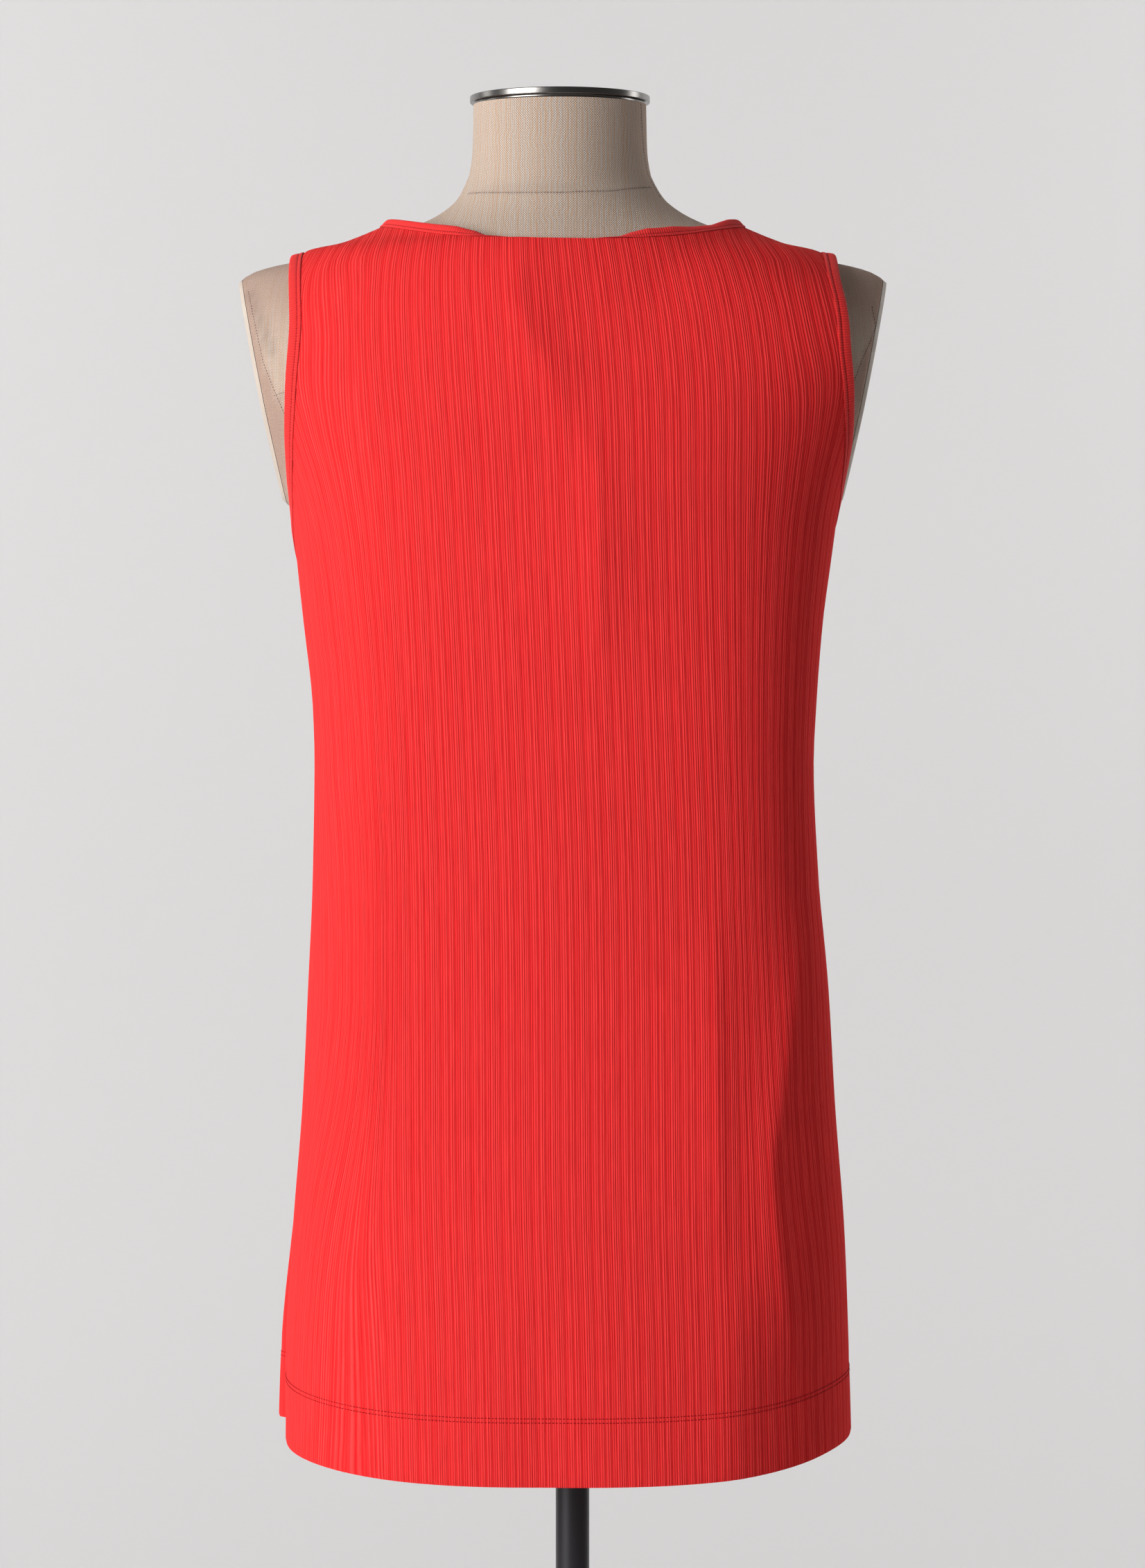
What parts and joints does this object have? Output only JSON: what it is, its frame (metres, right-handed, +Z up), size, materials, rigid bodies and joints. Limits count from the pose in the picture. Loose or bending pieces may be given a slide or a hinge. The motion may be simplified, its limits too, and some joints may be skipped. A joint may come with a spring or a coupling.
{
  "type": "sleeveless tunic on a dress form",
  "caption": "Sleeveless rib-knit tunic with bound neck and armholes and side slits, worn by a limbless linen dress form on a pole stand with a round base.",
  "frame": {"origin": "on the floor, below the middle of the dress form", "axes": "+Z up, -Y towards the wearer's front, +Y towards the wearer's back, +X towards the wearer's left"},
  "size_m": [0.396, 0.32, 1.4931],
  "materials": {
    "red_knit": "matte rib knit",
    "red_binding": "matte rib knit, run across the strip",
    "linen": "matte coarse weave",
    "arm_plate": "smooth satin",
    "neck_cap_chrome": "polished",
    "black_steel": "satin black",
    "flange_steel": "plain"
  },
  "bodies": {
    "root": {"back_panel": "red_knit", "front_panel": "red_knit", "neck_binding": "red_binding", "armhole_binding_left": "red_binding", "armhole_binding_right": "red_binding", "form_torso": "linen", "form_arm_plate_left": "arm_plate", "form_arm_plate_right": "arm_plate", "form_neck_cap": "neck_cap_chrome", "form_flange": "flange_steel", "stand_pole": "black_steel", "stand_base": "black_steel"}
  },
  "joints": []
}
